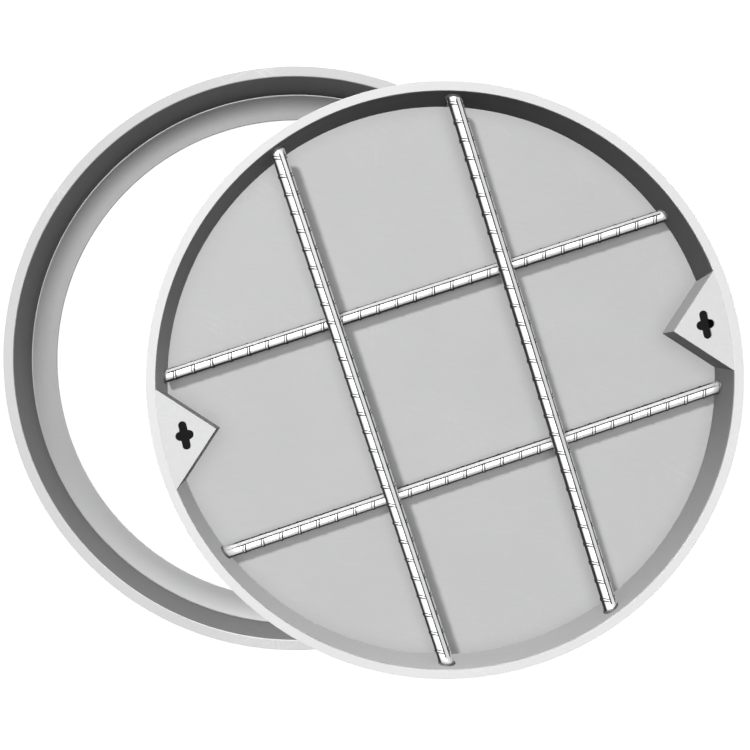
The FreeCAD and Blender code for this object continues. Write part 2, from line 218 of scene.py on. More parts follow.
def buildCloud():
    group, start, end = newGroup(
        "handlingCloud",
        [("Vector", "NodeSocketVector", None), ("Scale", "NodeSocketFloat", 6.0),
         ("Contrast", "NodeSocketFloat", 0.5)],
        [("Mask", "NodeSocketFloat")])
    big = addNode(group, "ShaderNodeTexNoise", {"Detail": 5.0, "Roughness": 0.6, "Distortion": 0.4},
                  {"Vector": start.outputs["Vector"], "Scale": start.outputs["Scale"]})
    centred = mathNode(group, "SUBTRACT", big.outputs["Fac"], 0.5)
    spread = mathNode(group, "MULTIPLY", centred, mathNode(group, "ADD", start.outputs["Contrast"], 1.0))
    group.links.new(mathNode(group, "ADD", spread, 0.5, clamp=True), end.inputs["Mask"])
    return group


def buildScratches():
    group, start, end = newGroup(
        "fineScratches",
        [("Vector", "NodeSocketVector", None), ("Scale", "NodeSocketFloat", 14.0),
         ("Amount", "NodeSocketFloat", 0.3)],
        [("Mask", "NodeSocketFloat")])
    total = None
    for turn, size in ((0.4, 1.0), (1.35, 1.7), (2.5, 1.3)):
        turned = addNode(group, "ShaderNodeVectorRotate", {"rotation_type": "Z_AXIS", "Angle": turn},
                         {"Vector": start.outputs["Vector"]})
        long = addNode(group, "ShaderNodeVectorMath", {"operation": "MULTIPLY"})
        long.inputs[1].default_value = (0.25 * size, 9.0 * size, size)
        group.links.new(turned.outputs[0], long.inputs[0])
        lines = addNode(group, "ShaderNodeTexNoise", {"Detail": 2.0, "Roughness": 0.4, "Distortion": 0.15},
                        {"Vector": long.outputs[0], "Scale": start.outputs["Scale"]})
        thin = addNode(group, "ShaderNodeMapRange", {"From Min": 0.0, "From Max": 0.012, "To Min": 1.0, "To Max": 0.0},
                       {"Value": mathNode(group, "ABSOLUTE", mathNode(group, "SUBTRACT", lines.outputs["Fac"], 0.53))})
        total = thin.outputs[0] if total is None else mathNode(group, "MAXIMUM", total, thin.outputs[0])
    patch = addNode(group, "ShaderNodeTexNoise", {"Scale": 9.0, "Detail": 2.0}, {"Vector": start.outputs["Vector"]})
    here = addNode(group, "ShaderNodeMapRange", {"From Min": 0.5, "From Max": 0.68}, {"Value": patch.outputs["Fac"]})
    kept = mathNode(group, "MULTIPLY", total, here.outputs[0])
    group.links.new(mathNode(group, "MULTIPLY", kept, start.outputs["Amount"], clamp=True), end.inputs["Mask"])
    return group


def buildEdgeWear():
    group, start, end = newGroup(
        "edgeWear",
        [("Edge", "NodeSocketFloat", 0.0), ("Vector", "NodeSocketVector", None),
         ("Break Up", "NodeSocketFloat", 180.0)],
        [("Mask", "NodeSocketFloat")])
    chips = addNode(group, "ShaderNodeTexNoise", {"Detail": 4.0, "Roughness": 0.7},
                    {"Vector": start.outputs["Vector"], "Scale": start.outputs["Break Up"]})
    worn = addNode(group, "ShaderNodeMapRange", {"From Min": 0.35, "From Max": 0.6, "To Min": 0.25, "To Max": 1.0},
                   {"Value": chips.outputs["Fac"]})
    group.links.new(mathNode(group, "MULTIPLY", worn.outputs[0], start.outputs["Edge"]), end.inputs["Mask"])
    return group


groups = {"grain": buildRollGrain(), "cloud": buildCloud(), "scratches": buildScratches(), "wear": buildEdgeWear()}
print("shader groups built")

# colour, shine and grain of each finish; stretch sets which way the rolling marks run
finishes = {
    "ledgeSteel": {"dark": (0.60, 0.60, 0.60), "light": (0.68, 0.68, 0.68), "metal": 0.05, "rough": (0.45, 0.58),
                   "shine": 0.2, "grainScale": 700.0, "stretch": (0.12, 1.0, 1.0), "bump": 0.04, "scratch": 0.15,
                   "wear": 0.1},
    "frameRimSteel": {"dark": (0.61, 0.61, 0.61), "light": (0.69, 0.69, 0.69), "metal": 0.1, "rough": (0.40, 0.52),
                      "shine": 0.3, "grainScale": 800.0, "stretch": (1.0, 0.15, 1.0), "bump": 0.05, "scratch": 0.35},
    # painted shade: the frame wall is coloured far darker than the frame rim of the same steel
    "frameWallSteelShaded": {"dark": (0.155, 0.155, 0.155), "light": (0.205, 0.205, 0.205), "metal": 0.0, "rough": (0.50, 0.62),
                       "shine": 0.1, "grainScale": 700.0, "stretch": (0.12, 0.12, 1.0), "bump": 0.04, "scratch": 0.02,
                       "wear": 0.06},
    "rimSteel": {"dark": (0.77, 0.77, 0.77), "light": (0.86, 0.86, 0.86), "metal": 0.1, "rough": (0.40, 0.52),
                 "shine": 0.3, "grainScale": 800.0, "stretch": (1.0, 0.15, 1.0), "bump": 0.05, "scratch": 0.35},
    "floorSteel": {"dark": (0.56, 0.56, 0.565), "light": (0.61, 0.61, 0.615), "metal": 0.08, "rough": (0.48, 0.62),
                   "shine": 0.3, "grainScale": 600.0, "stretch": (0.1, 1.0, 1.0), "bump": 0.03, "scratch": 0.10},
    "plateSteel": {"dark": (0.69, 0.69, 0.69), "light": (0.78, 0.78, 0.78), "metal": 0.1, "rough": (0.38, 0.50),
                   "shine": 0.3, "grainScale": 800.0, "stretch": (1.0, 0.12, 1.0), "bump": 0.05, "scratch": 0.3},
    # painted shade: the tray wall is coloured darker than the tray rim and floor of the same steel
    "wallSteelShaded": {"dark": (0.43, 0.43, 0.43), "light": (0.51, 0.51, 0.51), "metal": 0.0, "rough": (0.50, 0.62),
                  "shine": 0.1, "grainScale": 700.0, "stretch": (0.12, 0.12, 1.0), "bump": 0.04, "scratch": 0.04},
    "pocketSteel": {"dark": (0.52, 0.52, 0.52), "light": (0.61, 0.61, 0.61), "metal": 0.0, "rough": (0.46, 0.58),
                    "shine": 0.15, "grainScale": 700.0, "stretch": (0.12, 0.12, 1.0), "bump": 0.04, "scratch": 0.15},
    "barSteel": {"dark": (0.78, 0.78, 0.78), "light": (0.90, 0.90, 0.90), "metal": 0.52, "rough": (0.26, 0.38),
                 "shine": 0.5, "grainScale": 1200.0, "stretch": (0.15, 1.0, 1.0), "bump": 0.04, "scratch": 0.1},
    "weldMetal": {"dark": (0.12, 0.118, 0.115), "light": (0.24, 0.236, 0.232), "metal": 0.3, "rough": (0.40, 0.58),
                  "shine": 0.3, "grainScale": 1500.0, "stretch": (1.0, 1.0, 1.0), "bump": 0.08, "scratch": 0.0},
}


# painted shade: darkens the tray floor and wall to near black inside the two key pockets, under the keyhole plates
def pocketShade(tree, place):
    turned = addNode(tree, "ShaderNodeVectorRotate", {"rotation_type": "Z_AXIS", "Angle": -pocketTurn}, {"Vector": place})
    parts = addNode(tree, "ShaderNodeSeparateXYZ", {}, {"Vector": turned.outputs[0]})
    inward = mathNode(tree, "SUBTRACT", mathNode(tree, "ABSOLUTE", parts.outputs["X"]),
                      mathNode(tree, "ABSOLUTE", parts.outputs["Y"]))
    edge = addNode(tree, "ShaderNodeMapRange", {"From Min": 272 * mm, "From Max": 273 * mm}, {"Value": inward})
    height = parts.outputs["Z"]
    out = mathNode(tree, "SQRT", mathNode(tree, "ADD", mathNode(tree, "POWER", parts.outputs["X"], 2.0),
                                          mathNode(tree, "POWER", parts.outputs["Y"], 2.0)))
    (low, lowIn, _), (high, highIn, _) = wallEnds
    slope = (highIn - lowIn) / (high - low)
    skin = mathNode(tree, "ADD", mathNode(tree, "MULTIPLY", height, slope), lowIn - slope * low + 1.5 * mm)
    inside = mathNode(tree, "MULTIPLY", mathNode(tree, "LESS_THAN", out, skin),
                      mathNode(tree, "GREATER_THAN", height, 2.5 * mm))
    return mathNode(tree, "MULTIPLY", edge.outputs[0], inside)


def buildFinish(name):
    look = finishes[name]
    material = bpy.data.materials.new(name)
    material.use_nodes = True
    tree = material.node_tree
    shader = tree.nodes["Principled BSDF"]
    place = addNode(tree, "ShaderNodeTexCoord").outputs["Object"]
    grain = addNode(tree, "ShaderNodeGroup", {"node_tree": groups["grain"]})
    grain.inputs["Scale"].default_value = look["grainScale"]
    grain.inputs["Stretch"].default_value = look["stretch"]
    cloud = addNode(tree, "ShaderNodeGroup", {"node_tree": groups["cloud"]})
    cloud.inputs["Scale"].default_value = 7.0
    scratches = addNode(tree, "ShaderNodeGroup", {"node_tree": groups["scratches"]})
    scratches.inputs["Amount"].default_value = look["scratch"]
    wear = addNode(tree, "ShaderNodeGroup", {"node_tree": groups["wear"]})
    for group in (grain, cloud, scratches, wear):
        tree.links.new(place, group.inputs["Vector"])
    edge = addNode(tree, "ShaderNodeAttribute", {"attribute_name": "edge"})
    tree.links.new(edge.outputs["Fac"], wear.inputs["Edge"])

    tone = mathNode(tree, "ADD", mathNode(tree, "MULTIPLY", grain.outputs["Streak"], 0.45),
                    mathNode(tree, "MULTIPLY", cloud.outputs["Mask"], 0.55), clamp=True)
    base = addNode(tree, "ShaderNodeMix", {"data_type": "RGBA"}, {"Factor": tone})
    base.inputs[6].default_value = (*look["dark"], 1)
    base.inputs[7].default_value = (*look["light"], 1)
    marks = mathNode(tree, "MAXIMUM", scratches.outputs["Mask"],
                     mathNode(tree, "MULTIPLY", wear.outputs["Mask"], look.get("wear", 0.5)))
    bright = addNode(tree, "ShaderNodeMix", {"data_type": "RGBA"}, {"Factor": marks})
    tree.links.new(base.outputs[2], bright.inputs[6])
    bright.inputs[7].default_value = (0.93, 0.935, 0.94, 1)
    # painted shade: the colour goes near black, rougher and less metallic where the bars' shade attribute or the
    # key-pocket shade mask is set
    paintedShade = addNode(tree, "ShaderNodeAttribute", {"attribute_name": "paintedShade"})
    shadeMask = paintedShade.outputs["Fac"]
    if name in ("floorSteel", "wallSteelShaded"):
        shadeMask = pocketShade(tree, place)
    shaded = addNode(tree, "ShaderNodeMix", {"data_type": "RGBA"}, {"Factor": shadeMask})
    tree.links.new(bright.outputs[2], shaded.inputs[6])
    shaded.inputs[7].default_value = (0.012, 0.012, 0.013, 1)
    tree.links.new(shaded.outputs[2], shader.inputs["Base Color"])
    rough = addNode(tree, "ShaderNodeMapRange", {"To Min": look["rough"][1], "To Max": look["rough"][0]},
                    {"Value": tone})
    polished = mathNode(tree, "SUBTRACT", rough.outputs[0], mathNode(tree, "MULTIPLY", marks, 0.12))
    dull = addNode(tree, "ShaderNodeMapRange", {"To Max": 0.9}, {"Value": shadeMask, "To Min": polished})
    tree.links.new(dull.outputs[0], shader.inputs["Roughness"])
    shader.inputs["Specular IOR Level"].default_value = look["shine"]
    if look["metal"] > 0.5:
        bare = addNode(tree, "ShaderNodeMapRange", {"To Min": look["metal"], "To Max": 0.0}, {"Value": shadeMask})
        tree.links.new(bare.outputs[0], shader.inputs["Metallic"])
    else:
        shader.inputs["Metallic"].default_value = look["metal"]
    bump = addNode(tree, "ShaderNodeBump", {"Strength": look["bump"] * 4, "Distance": 0.00012},
                   {"Height": grain.outputs["Height"]})
    tree.links.new(bump.outputs[0], shader.inputs["Normal"])
    return material


materials = {name: buildFinish(name) for name in finishes}
print("finishes built:", ", ".join(materials))


def standAt(centre, turn=0.0):
    return Matrix.Translation(centre) @ Matrix.Rotation(turn, 4, "Z")


# rims, walls and floor: turned sheet with small rolled edges
turned = {"segments": 360, "rimRound": 0.35 * mm, "wallRound": 0.35 * mm, "floorRound": 0.5 * mm}


def turnedRing(nodeName, centre, body, finish, rounding, place):
    (low, lowIn, lowOut), (high, highIn, highOut) = ringEnds(nodeName, centre)
    corners = [(lowIn, low, rounding), (lowOut, low, rounding), (highOut, high, rounding), (highIn, high, rounding)]
    mesh = lathe(nodeName + "_turned", roundSection(corners), turned["segments"])
    return addPiece(nodeName + "_turned", mesh, body, materials[finish], [nodeName], place)


def buildRings():
    coverPlace, framePlace = standAt(coverCentre), standAt(frameCentre)
    turnedRing("frame_rim", frameCentre, "frame", "frameRimSteel", turned["rimRound"], framePlace)
    turnedRing("frame_wall", frameCentre, "frame", "frameWallSteelShaded", turned["wallRound"], framePlace)
    turnedRing("cover_rim", coverCentre, "cover", "rimSteel", turned["rimRound"], coverPlace)
    turnedRing("cover_wall", coverCentre, "cover", "wallSteelShaded", turned["wallRound"], coverPlace)

    (low, _, radius), (high, _, _) = ringEnds("cover_floor", coverCentre)
    r = turned["floorRound"]
    section = roundSection([(radius - 40 * mm, low, 0), (radius, low, r), (radius, high, r), (radius - 40 * mm, high, 0)])
    mesh = lathe("cover_floor_disc", section, turned["segments"], closed=False)
    addPiece("cover_floor_disc", mesh, "cover", materials["floorSteel"], ["cover_floor"], coverPlace)


buildRings()
print("rims, walls and floor built")

# the frame's dished ledge, pressed from sheet
ledge = {"flat": 8.0 * mm, "run": 22.1 * mm, "arc": 50.4 * mm, "sheet": 3.0 * mm, "steps": 14}


def buildLedge():
    inner = min(math.hypot(v.co.x, v.co.y) for v in nodes["frame_ledge"].data.vertices)
    cx, cz = inner + ledge["flat"], ledge["sheet"] + ledge["arc"]
    lean = math.asin(ledge["run"] / ledge["arc"])
    upper = [(cx + ledge["arc"] * math.sin(lean * k / ledge["steps"]),
              cz - ledge["arc"] * math.cos(lean * k / ledge["steps"]), 0.0) for k in range(ledge["steps"] + 1)]
    under = ledge["arc"] + ledge["sheet"]
    lower = [(cx + under * math.sin(lean * k / ledge["steps"]),
              cz - under * math.cos(lean * k / ledge["steps"]), 0.0) for k in range(ledge["steps"], -1, -1)]
    corner = 0.6 * mm
    lip = roundSection([(inner + 4 * mm, 0.0, 0), (inner, 0.0, corner), (inner, ledge["sheet"], corner),
                        (inner + 4 * mm, ledge["sheet"], 0)])
    section = list(reversed(upper + lower + lip))
    mesh = lathe("frame_ledge_pressed", section, turned["segments"])
    addPiece("frame_ledge_pressed", mesh, "frame", materials["ledgeSteel"], ["frame_ledge"],
             standAt(frameCentre))


buildLedge()
print("ledge built")

# ribbed reinforcing bars; heights are above the cover's base, lines are (distance from its centre, skew in degrees,
# shift of the ribs)
bars = {
    "lower": {"core": 7.5 * mm, "over": 8.3 * mm, "height": 12.4 * mm, "tilt": -42, "lean": -27, "farSeam": 0.60,
              "ribPitch": 23.0 * mm},
    "upper": {"core": 8.7 * mm, "over": 9.5 * mm, "height": 30.3 * mm, "tilt": 24, "lean": 32, "farSeam": 0.16,
              "ribPitch": 22.5 * mm},
    "ribShift": 1.0 * mm, "ribWidth": 2.2 * mm, "stripWidth": 5.2 * mm,
    "stripDrop": 0.45 * mm, "plainEnd": 4.0 * mm, "seam": 0.14, "seamEdge": 0.62, "around": 72, "wallGap": 0.3 * mm, "flank": (40, 84),
    "lines": {"lower_bar_back": (105.6 * mm, -0.1, 2.4 * mm), "lower_bar_front": (-112.3 * mm, 0.6, -6.8 * mm),
              "upper_bar_left": (-100.3 * mm, 0.3, 11.2 * mm), "upper_bar_right": (109.2 * mm, -0.9, 9.6 * mm)},
}


# inside radius of the tray wall at a height above the cover's base
def wallInside(height):
    (low, lowIn, _), (high, highIn, _) = wallEnds
    return lowIn + (highIn - lowIn) * (height - low) / (high - low) - bars["wallGap"]


# how far a point off to one side of the tray's centre line can run before it meets the wall
def wallReach(side, height):
    return math.sqrt(wallInside(height) ** 2 - side ** 2)


# where a bar lies: along its own X, turned and raised in the tray
def barPlace(name):
    offset, skew, _ = bars["lines"][name]
    upper = name.startswith("upper")
    height = bars["upper" if upper else "lower"]["height"]
    turn = Matrix.Translation(coverCentre) @ Matrix.Rotation(barTurn + math.radians(skew), 4, "Z")
    if upper:
        return turn @ Matrix.Translation((offset, 0, height)) @ Matrix.Rotation(math.pi / 2, 4, "Z")
    return turn @ Matrix.Translation((0, offset, height))


# stations along the bar as (place, rib height share, painted shade at the rib root), closer together at each rib
def barStations(first, count, pitch):
    w = bars["ribWidth"] / 2
    profile = ((-2.9, 0, 0), (-2.15, 0, 0), (-2.0, 0, 1), (-1.0, 0.3, 1), (-0.75, 0.8, 0.4), (-0.3, 1, 0),
               (0.3, 1, 0), (0.75, 0.8, 0.4), (1.0, 0.3, 1), (2.0, 0, 1), (2.15, 0, 0), (2.9, 0, 0))
    stations = [(first - 9 * mm, 0.0, 0.0), (first - 5 * mm, 0.0, 0.0)]
    for k in range(count):
        stations += [(first + k * pitch + d * w, rise, dark) for d, rise, dark in profile]
        if k < count - 1:
            stations += [(first + (k + f) * pitch, 0.0, 0.0) for f in (0.3, 0.5, 0.7)]
    last = first + (count - 1) * pitch
    return stations + [(last + 5 * mm, 0.0, 0.0), (last + 9 * mm, 0.0, 0.0)]


def buildBar(name):
    offset, skew, phase = bars["lines"][name]
    upper = name.startswith("upper")
    layer = bars["upper" if upper else "lower"]
    core, over = layer["core"], layer["over"]
    roll, lean = math.radians(layer["tilt"]), math.tan(math.radians(layer["lean"]))
    half = math.sqrt(wallEnds[0][1] ** 2 - (abs(offset) + over) ** 2)
    limit = wallReach(abs(offset), layer["height"]) - bars["plainEnd"]
    pitch = layer["ribPitch"]
    first = phase - pitch * int((limit + phase) / pitch)
    count = int((limit - first) / pitch) + 1
    stations = [(-half - 30 * mm, 0.0, 0.0)] + barStations(first, count, pitch) + [(half + 30 * mm, 0.0, 0.0)]

    # angles round the bar, closer together at the two lengthways ribs
    flat = over - bars["stripDrop"]
    stripSide = math.atan2(bars["stripWidth"] / 2, flat)
    seamSide = stripSide + bars["seam"]
    steps = (0.0, 0.3 * stripSide, (bars["seamEdge"] - 0.04) * stripSide, (bars["seamEdge"] + 0.04) * stripSide,
             0.90 * stripSide, 0.97 * stripSide, stripSide + 0.012, seamSide - 0.005, seamSide + 0.02)
    angles = set()
    for quarter in (math.pi / 2, -math.pi / 2):
        for step in steps:
            angles.update((quarter + step, quarter - step))
    for k in range(bars["around"]):
        angle = 2 * math.pi * k / bars["around"] - math.pi
        if abs(abs(angle) - math.pi / 2) > seamSide + 0.03:
            angles.add(angle)
    angles = sorted(angles)

    points, faces, paintedShade = [], [], []
    disc = over - bars["ribShift"]
    for u, share, dark in stations:
        for angle in angles:
            y, z = math.cos(angle), math.sin(angle)
            crest = abs(y) * bars["ribShift"] + math.sqrt(disc ** 2 - (bars["ribShift"] * z) ** 2) - core
            rib = max(crest, 0.0) * share
            away = abs(abs(angle) - math.pi / 2)
            strip = flat / math.cos(away) - core if away < stripSide and abs(u) < limit else 0.0
            skin = 0.04 * mm * noise.noise(Vector((u * 60, y * 1.3, z * 1.3 + offset * 50)))
            radius = core + max(rib, strip) + skin
            across, up = radius * y, radius * z
            across, up = across * math.cos(roll) - up * math.sin(roll), across * math.sin(roll) + up * math.cos(roll)
            reach = wallReach((-offset if upper else offset) + across, layer["height"] + up)
            points.append((min(max(u + lean * abs(y) * radius, -reach), reach), across, up))
            # painted shade: near black along the rib roots, along the seams of the lengthways rib and on the flank
            # turned away from the strip
            root = dark * min(max(crest, 0.0) / (0.25 * mm), 1.0)
            outward = (abs(angle) - math.pi / 2) * angle * roll > 0
            nearEdge = (bars["seamEdge"] if outward else 0.95) * stripSide
            farEdge = stripSide + layer["farSeam"] if outward else seamSide
            seam = 1.0 if abs(u) < limit and nearEdge < away < farEdge else 0.0
            tip = math.degrees(math.atan2(across if upper else -across, up))
            flank = min(max((tip - bars["flank"][0]) / 4, 0.0), max((bars["flank"][1] - tip) / 6, 0.0), 1.0)
            paintedShade.append(max(root, seam, flank))
    ring = len(angles)
    for j in range(len(stations) - 1):
        for i in range(ring):
            n = (i + 1) % ring
            faces.append((j * ring + i, j * ring + n, (j + 1) * ring + n, (j + 1) * ring + i))
    faces.append(list(reversed(range(ring))))
    faces.append([(len(stations) - 1) * ring + i for i in range(ring)])
    mesh = makeMesh(name + "_rolled", points, faces, paintedShadeMask=paintedShade)
    addPiece(name + "_rolled", mesh, "cover", materials["barSteel"], [name], barPlace(name))


for barName in bars["lines"]:
    buildBar(barName)
print("ribbed bars built")

# lifting-key pockets: a plate with a cross-shaped keyhole on two upright walls
pocket = {
    "tip": (335.35 - 64.5) * mm, "back": 335.35 * mm, "keyhole": 37.4 * mm, "plate": 3.0 * mm,
    "long": 33.4 * mm, "narrow": 9.6 * mm, "short": 21.2 * mm, "wide": 10.6 * mm, "wallThick": 3.0 * mm,
    "plateEdge": 0.55 * mm, "wallEdge": 0.3 * mm, "gap": 0.05 * mm,
}


# distance from the middle of a rounded slot to its edge, in a direction
def slotReach(angle, length, width):
    dx, dy = abs(math.cos(angle)), abs(math.sin(angle))
    straight = (length - width) / 2
    r = width / 2
    if dy > 1e-9 and r / dy * dx <= straight:
        return r / dy
    return dx * straight + math.sqrt(max(r * r - (dy * straight) ** 2, 0.0))


def keyholeOutline(steps=160):
    outline = []
    for k in range(steps):
        angle = 2 * math.pi * k / steps
        upright = slotReach(angle - math.pi / 2, pocket["long"], pocket["narrow"])
        level = slotReach(angle, pocket["short"], pocket["wide"])
        reach = (upright ** 14 + level ** 14) ** (1 / 14)
        reach = min(reach, max(upright, level) + 0.25 * mm)
        outline.append((pocket["tip"] + pocket["keyhole"] + reach * math.cos(angle), reach * math.sin(angle)))
    return outline


def plateOutline(steps=24):
    tip, back = pocket["tip"], pocket["back"]
    side = (-tip + math.sqrt(2 * back ** 2 - tip ** 2)) / 2
    bend = math.atan2(side, tip + side)
    outline = [(tip, 0.0)]
    for k in range(steps + 1):
        angle = -bend + 2 * bend * k / steps
        outline.append((back * math.cos(angle), back * math.sin(angle)))
    return outline


def buildPlate(name, turn):
    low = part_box(name)[0].z - coverCentre.z
    bm = bmesh.new()
    for outline in (plateOutline(), keyholeOutline()):
        loop = [bm.verts.new((x, y, low)) for x, y in outline]
        for a, b in zip(loop, loop[1:] + loop[:1]):
            bm.edges.new((a, b))
    bmesh.ops.triangle_fill(bm, use_beauty=True, use_dissolve=False, edges=bm.edges[:])
    bmesh.ops.recalc_face_normals(bm, faces=bm.faces[:])
    raised = bmesh.ops.extrude_face_region(bm, geom=bm.faces[:])
    for item in raised["geom"]:
        if isinstance(item, bmesh.types.BMVert):
            item.co.z += pocket["plate"]
    bmesh.ops.recalc_face_normals(bm, faces=bm.faces[:])
    # every sharp edge is eased but the back one, which runs flush into the rim
    weight = bm.edges.layers.float.new("bevel_weight_edge")
    for edge in bm.edges:
        atRim = all(v.co.xy.length > pocket["back"] - 0.01 * mm for v in edge.verts)
        if edge.calc_face_angle(0) > math.radians(35):
            edge[weight] = 0.0 if atRim else 1.0
            edge.smooth = not atRim
    mesh = bpy.data.meshes.new(name + "_cut")
    bm.to_mesh(mesh)
    bm.free()
    for polygon in mesh.polygons:
        polygon.use_smooth = True
    plate = addPiece(name + "_cut", mesh, "cover", materials["plateSteel"], [name],
                     standAt(coverCentre, turn), softEdge=pocket["plateEdge"])
    plate.modifiers["softEdge"].limit_method = "WEIGHT"
    return plate


def buildPocketWall(name, turn, side):
    thick = pocket["wallThick"]
    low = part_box(name)[0].z - coverCentre.z
    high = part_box(name)[1].z - coverCentre.z
    lean = math.radians(45) * side
    ahead = Vector((math.cos(lean), math.sin(lean)))
    inward = Vector((math.sin(lean) * side, -math.cos(lean) * side))
    tip = Vector((pocket["tip"], 0))
    start = 0.0 if side > 0 else thick + pocket["gap"]
    levels = 9
    points, faces = [], []
    for k in range(levels):
        height = low + (high - low) * k / (levels - 1)
        for depth, at in ((0.0, "start"), (0.0, "end"), (thick, "end"), (thick, "start")):
            foot = tip + inward * depth
            if at == "start":
                spot = foot + ahead * start
            else:
                b = foot.dot(ahead)
                reach = -b + math.sqrt(b * b - foot.length_squared + wallInside(height) ** 2)
                spot = foot + ahead * reach
            points.append((spot.x, spot.y, height))
    for k in range(levels - 1):
        for i in range(4):
            n = (i + 1) % 4
            faces.append((k * 4 + i, k * 4 + n, (k + 1) * 4 + n, (k + 1) * 4 + i))
    faces.append((3, 2, 1, 0))
    faces.append(tuple((levels - 1) * 4 + i for i in range(4)))
    mesh = makeMesh(name + "_sheared", points, faces)
    return addPiece(name + "_sheared", mesh, "cover", materials["pocketSteel"], [name],
                    standAt(coverCentre, turn), softEdge=pocket["wallEdge"])


for sideName, halfTurn in (("right", 0.0), ("left", math.pi)):
    buildPlate(sideName + "_key_plate", pocketTurn + halfTurn)
    buildPocketWall(sideName + "_pocket_wall_a", pocketTurn + halfTurn, 1)
    buildPocketWall(sideName + "_pocket_wall_b", pocketTurn + halfTurn, -1)
print("key pockets built")

# weld beads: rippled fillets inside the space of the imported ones
welds = {"ripple": 3.6 * mm, "hump": 0.22, "ringSteps": 1500, "collarLeg": 1.2 * mm, "collarLong": 2.6 * mm,
         "collarAround": 96, "collarSteps": 6}


# a bead in the corner of a wall and a level plate: corner (radius, height), and which way its legs run
def buildRingBead(nodeName, centre, body):
    points = [v.co - centre for v in nodes[nodeName].data.vertices]
    radii = [math.hypot(p.x, p.y) for p in points]
    low, high = min(p.z for p in points), max(p.z for p in points)
    inner, outer = min(radii), max(radii)
    # the square corner of the bead is the level edge that runs out furthest
    lowOut = max(r for r, p in zip(radii, points) if p.z < low + 0.02 * mm)
    under = lowOut < outer - 0.5 * mm
    corner = [(inner, high), (inner, low)] if not under else [(inner, low), (inner, high)]
    far = (outer, high if under else low)
    start, square = corner
    verts, faces, count = [], [], 8
    for j in range(welds["ringSteps"]):
        angle = 2 * math.pi * j / welds["ringSteps"]
        wave = abs(math.sin(math.pi * angle * inner / welds["ripple"]))
        for k in range(count):
            f = k / (count - 1)
            radius = start[0] + (far[0] - start[0]) * f
            height = start[1] + (far[1] - start[1]) * f
            sink = (0.10 + welds["hump"] * (1 - wave)) * math.sin(math.pi * f)
            radius += (square[0] - radius) * sink
            height += (square[1] - height) * sink
            verts.append((radius * math.cos(angle), radius * math.sin(angle), height))
        verts.append((square[0] * math.cos(angle), square[0] * math.sin(angle), square[1]))
    ring = count + 1
    for j in range(welds["ringSteps"]):
        n = (j + 1) % welds["ringSteps"]
        for k in range(ring):
            m = (k + 1) % ring
            quad = (j * ring + k, n * ring + k, n * ring + m, j * ring + m)
            faces.append(quad if under else tuple(reversed(quad)))
    mesh = makeMesh(nodeName + "_bead", verts, faces)
    addPiece(nodeName + "_bead", mesh, body, materials["weldMetal"], [nodeName], standAt(centre))


# fillet round a bar's end where it meets the wall
def collarPoints(name, end, verts, faces):
    offset, skew, _ = bars["lines"][name]
    upper = name.startswith("upper")
    layer = bars["upper" if upper else "lower"]
    place = standAt(coverCentre).inverted() @ barPlace(name)
    base, around, steps = len(verts), welds["collarAround"], welds["collarSteps"]
    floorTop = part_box("cover_floor")[1].z - coverCentre.z + 0.05 * mm
    for j in range(around):
        angle = 2 * math.pi * j / around
        wave = 1 - 0.22 * abs(math.sin(angle * layer["core"] / welds["ripple"] * math.pi))
        rows = [((k / steps) ** 1.6, k / steps) for k in range(steps + 1)] + [(-0.1, 1.0)]
        for rise, along in rows:
            radius = layer["core"] + 0.15 * mm + welds["collarLeg"] * 0.85 * rise * wave
            across, up = radius * math.cos(angle), radius * math.sin(angle)
            up = max(up, floorTop - layer["height"])
            reach = wallReach((-offset if upper else offset) + across, layer["height"] + up)
            x = reach - welds["collarLong"] * (1 - along)
            verts.append(place @ Vector((end * x, across, up)))
    ring = steps + 2
    for j in range(around):
        n = (j + 1) % around
        for k in range(ring):
            m = (k + 1) % ring
            quad = (base + j * ring + k, base + j * ring + m, base + n * ring + m, base + n * ring + k)
            faces.append(quad if end > 0 else tuple(reversed(quad)))


def buildCollars(nodeName):
    verts, faces = [], []
    for name in bars["lines"]:
        if name.split("_")[0] == nodeName.split("_")[0]:
            for end in (1, -1):
                collarPoints(name, end, verts, faces)
    mesh = makeMesh(nodeName + "_bead", verts, faces)
    addPiece(nodeName + "_bead", mesh, "cover", materials["weldMetal"], [nodeName], standAt(coverCentre))


for nodeName, centre, body in (("frame_rim_weld", frameCentre, "frame"), ("frame_ledge_weld", frameCentre, "frame"),
                               ("cover_floor_weld", coverCentre, "cover")):
    buildRingBead(nodeName, centre, body)
for nodeName in ("lower_bar_welds", "upper_bar_welds"):
    buildCollars(nodeName)
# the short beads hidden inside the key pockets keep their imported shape
for nodeName in ("right_pocket_welds", "left_pocket_welds"):
    mesh = nodes[nodeName].data
    mesh.materials.clear()
    mesh.materials.append(materials["weldMetal"])
print("weld beads built")

# floor, light and camera; light directions are (across, up, elevation) as the camera sees them
room = {
    "floorColour": (0.93, 0.93, 0.93), "floorGlow": 1.0, "reach": 40, "backdrop": 1.0,
    "zenith": 0.45, "horizon": 0.03, "capStart": 0.80, "capFull": 0.95,
    "key": {"from": (-0.64, 0.77, 45), "strength": 2.25, "angle": 8},
    "wallKey": {"from": (0.0, 1.0, 35), "strength": 3.2, "angle": 40},
    "frameKey": {"from": (-0.3, 0.95, 25), "strength": 4.35, "angle": 30},
    "overhead": {"from": (0.0, 1.0, 90), "strength": 1.05, "angle": 60},
    "rightFill": {"from": (1.0, 0.2, 15), "strength": 0.47, "angle": 60},
    "leftFill": {"from": (-1.0, 0.2, 15), "strength": 0.42, "angle": 60},
    "barFill": {"from": (-0.7, -0.7, 65), "strength": 2.0, "angle": 70},
    "stripFill": {"from": (0.2, 1.0, 50), "strength": 1.3, "angle": 60},
}
view = {"roll": math.radians(8.7), "axis": (0.0472, -0.0315), "height": 1.3, "lens": 53.92, "shift": (0.06, 0.02)}


def linkedSet(name, pieces):
    group = bpy.data.collections.new(name)
    for piece in pieces:
        group.objects.link(piece)
    return group


